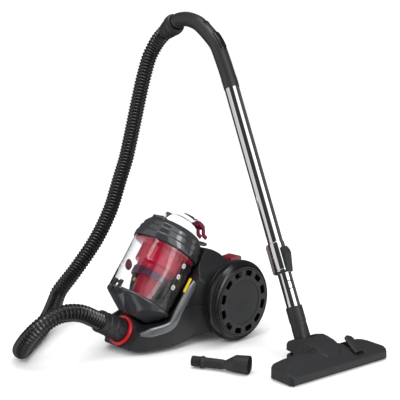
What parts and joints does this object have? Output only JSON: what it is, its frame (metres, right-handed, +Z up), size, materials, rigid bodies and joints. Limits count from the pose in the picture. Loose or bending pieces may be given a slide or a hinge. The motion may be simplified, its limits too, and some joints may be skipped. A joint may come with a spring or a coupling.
{
  "type": "canister vacuum cleaner",
  "caption": "Bagless canister vacuum cleaner with a clear cyclone bin, large rear wheels, corrugated hose, chrome telescopic wand, floor head and small tool.",
  "frame": {"origin": "on the floor, under the middle of the bounding box of everything but the free hose", "axes": "+Z up; +X from the canister's left wheel to its right wheel, towards the wand; -Y is the front of the canister, where the hose plugs in"},
  "size_m": [0.6996, 0.5864, 0.7192],
  "materials": {
    "body_plastic": "satin charcoal moulded plastic",
    "gloss_plastic": "glossy dark grey plastic",
    "trim_plastic": "gloss silver-grey plastic trim",
    "red_plastic": "gloss red plastic",
    "red_clear": "tinted red transparent plastic",
    "clear_plastic": "clear polycarbonate",
    "chrome_tube": "polished chrome-plated steel",
    "tyre_rubber": "soft black tread",
    "hose_plastic": "black corrugated hose",
    "steel": "bright steel",
    "foam": "open filter foam",
    "bristle": "dense short black bristles"
  },
  "bodies": {
    "canister": {"lower_chassis": "body_plastic", "upper_housing": "body_plastic", "cradle_trim_left": "trim_plastic", "cradle_trim_right": "trim_plastic", "inlet_duct": "body_plastic", "inlet_ring": "red_plastic", "motor_casing": "body_plastic", "motor_filter": "foam", "cord_gland": "tyre_rubber", "exhaust_filter": "foam", "exhaust_grille": "body_plastic", "axle_left": "steel", "axle_right": "steel", "suction_hose": "hose_plastic", "handle_grip": "body_plastic", "upper_tube": "chrome_tube", "telescope_sleeve": "chrome_tube", "park_clip": "trim_plastic"},
    "dust_bin": {"bin_tube": "clear_plastic", "bin_base": "gloss_plastic", "base_hinge": "body_plastic", "base_hinge_pin": "steel", "cyclone_body": "red_clear", "cyclone_cone": "red_clear", "mesh_shroud": "steel"},
    "lid": {"bin_lid": "gloss_plastic", "lid_seal": "tyre_rubber", "carry_handle": "clear_plastic"},
    "release_lever": {"bin_release_lever": "red_clear"},
    "wheel_left": {"wheel_left_tyre": "tyre_rubber", "wheel_left_rim": "body_plastic", "wheel_left_cover": "body_plastic"},
    "wheel_right": {"wheel_right_tyre": "tyre_rubber", "wheel_right_rim": "body_plastic", "wheel_right_cover": "body_plastic"},
    "caster_left": {"caster_left_fork": "body_plastic"},
    "caster_right": {"caster_right_fork": "body_plastic"},
    "caster_left_roller": {"caster_left_wheel": "tyre_rubber"},
    "caster_right_roller": {"caster_right_wheel": "tyre_rubber"},
    "power_button": {"power_pedal": "red_plastic"},
    "rewind_button": {"cord_rewind_pedal": "red_plastic"},
    "rotor": {"motor_rotor": "steel", "motor_fan": "steel"},
    "reel": {"cord_drum": "body_plastic"},
    "connector": {"hose_connector": "body_plastic"},
    "connector_left_button": {"connector_button_left": "body_plastic"},
    "connector_right_button": {"connector_button_right": "body_plastic"},
    "swivel_collar": {"hose_swivel": "body_plastic"},
    "suction_control": {"suction_slider": "body_plastic"},
    "telescope_button": {"telescope_release": "body_plastic"},
    "inner_tube": {"lower_tube": "chrome_tube", "head_cuff": "body_plastic"},
    "neck": {"elbow": "body_plastic"},
    "floor_head": {"head_body": "body_plastic", "sole_plate": "steel"},
    "brush_pedal": {"head_pedal": "body_plastic"},
    "brush": {"brush_strip": "bristle"},
    "head_rollers": {"head_wheels": "tyre_rubber"},
    "small_tool": {"tool_body": "body_plastic"},
    "dusting_brush": {"tool_brush": "body_plastic"}
  },
  "joints": [
    {"name": "wheel_left_spin", "type": "hinge", "parent": "canister", "child": "wheel_left", "pos_m": [-0.24351, 0.08237, 0.09], "axis": [1, 0, 0], "continuous": true},
    {"name": "wheel_right_spin", "type": "hinge", "parent": "canister", "child": "wheel_right", "pos_m": [-0.00351, 0.08237, 0.09], "axis": [1, 0, 0], "continuous": true},
    {"name": "caster_left_swivel", "type": "hinge", "parent": "canister", "child": "caster_left", "pos_m": [-0.17351, -0.07563, 0.02], "axis": [0, 0, 1], "continuous": true},
    {"name": "caster_right_swivel", "type": "hinge", "parent": "canister", "child": "caster_right", "pos_m": [-0.07351, -0.07563, 0.02], "axis": [0, 0, 1], "continuous": true},
    {"name": "caster_left_roll", "type": "hinge", "parent": "caster_left", "child": "caster_left_roller", "pos_m": [-0.17351, -0.07063, 0.009], "axis": [1, 0, 0], "continuous": true},
    {"name": "caster_right_roll", "type": "hinge", "parent": "caster_right", "child": "caster_right_roller", "pos_m": [-0.07351, -0.07063, 0.009], "axis": [1, 0, 0], "continuous": true},
    {"name": "power_press", "type": "hinge", "parent": "canister", "child": "power_button", "pos_m": [-0.07851, 0.16337, 0.159], "axis": [1, 0, 0], "range_deg": [0, 6], "stiffness_Nm_per_rad": 0.8},
    {"name": "rewind_press", "type": "hinge", "parent": "canister", "child": "rewind_button", "pos_m": [-0.16851, 0.16337, 0.159], "axis": [1, 0, 0], "range_deg": [0, 6], "stiffness_Nm_per_rad": 0.8},
    {"name": "motor_spin", "type": "hinge", "parent": "canister", "child": "rotor", "pos_m": [-0.17351, 0.07737, 0.082], "axis": [1, 0, 0], "continuous": true},
    {"name": "reel_spin", "type": "hinge", "parent": "canister", "child": "reel", "pos_m": [-0.07351, 0.07737, 0.082], "axis": [1, 0, 0], "continuous": true},
    {"name": "bin_lift", "type": "slide", "parent": "canister", "child": "dust_bin", "axis": [0, 0.6157, 0.788], "range_m": [0, 0.12]},
    {"name": "lid_lift", "type": "slide", "parent": "dust_bin", "child": "lid", "axis": [0, 0.6157, 0.788], "range_m": [0, 0.1]},
    {"name": "bin_release", "type": "hinge", "parent": "lid", "child": "release_lever", "pos_m": [-0.12351, 0.09505, 0.2082], "axis": [-1, 0, 0], "range_deg": [0, 5], "stiffness_Nm_per_rad": 0.6},
    {"name": "connector_swivel", "type": "hinge", "parent": "canister", "child": "connector", "pos_m": [-0.12351, -0.15063, 0.046], "axis": [0, -0.866, 0.5], "continuous": true},
    {"name": "connector_left_press", "type": "slide", "parent": "connector", "child": "connector_left_button", "axis": [1, 0, 0], "range_m": [0, 0.0025], "stiffness_N_per_m": 900},
    {"name": "connector_right_press", "type": "slide", "parent": "connector", "child": "connector_right_button", "axis": [-1, 0, 0], "range_m": [0, 0.0025], "stiffness_N_per_m": 900},
    {"name": "hose_swivel_turn", "type": "hinge", "parent": "canister", "child": "swivel_collar", "pos_m": [-0.26286, 0.14993, 0.6945], "axis": [-0.8832, 0.1178, -0.454], "continuous": true},
    {"name": "suction_adjust", "type": "slide", "parent": "canister", "child": "suction_control", "axis": [0.7703, -0.1028, -0.6293], "range_m": [0, 0.02]},
    {"name": "telescope_extend", "type": "slide", "parent": "canister", "child": "inner_tube", "axis": [0.4205, -0.0561, -0.9056], "range_m": [-0.03, 0.28]},
    {"name": "telescope_unlock", "type": "slide", "parent": "canister", "child": "telescope_button", "axis": [0.4205, -0.0561, -0.9056], "range_m": [0, 0.006], "stiffness_N_per_m": 600},
    {"name": "neck_twist", "type": "hinge", "parent": "inner_tube", "child": "neck", "pos_m": [0.18349, 0.09037, 0.03], "axis": [-0.4205, 0.0561, 0.9056], "continuous": true},
    {"name": "head_tilt", "type": "hinge", "parent": "neck", "child": "floor_head", "pos_m": [0.18349, 0.09037, 0.03], "axis": [0.1323, 0.9912, 0], "range_deg": [-24, 40]},
    {"name": "brush_rock", "type": "hinge", "parent": "floor_head", "child": "brush_pedal", "pos_m": [0.2844, 0.14047, 0.027], "axis": [-0.1323, -0.9912, 0], "range_deg": [0, 14]},
    {"name": "brush_drop", "type": "slide", "parent": "floor_head", "child": "brush", "axis": [0, 0, -1], "range_m": [0, 0.006]},
    {"name": "head_roll", "type": "hinge", "parent": "floor_head", "child": "head_rollers", "pos_m": [0.17595, 0.09138, 0.008], "axis": [0.1323, 0.9912, 0], "continuous": true},
    {"name": "tool_lift", "type": "slide", "parent": "canister", "child": "small_tool", "axis": [0, 0, 1], "range_m": [0, 0.1]},
    {"name": "dusting_brush_pull", "type": "slide", "parent": "small_tool", "child": "dusting_brush", "axis": [-0.9026, -0.4305, 0], "range_m": [0, 0.02]}
  ],
  "couplings": [
    {"joint": "brush_drop", "follows": "brush_rock", "m_per_rad": 0.0245}
  ]
}
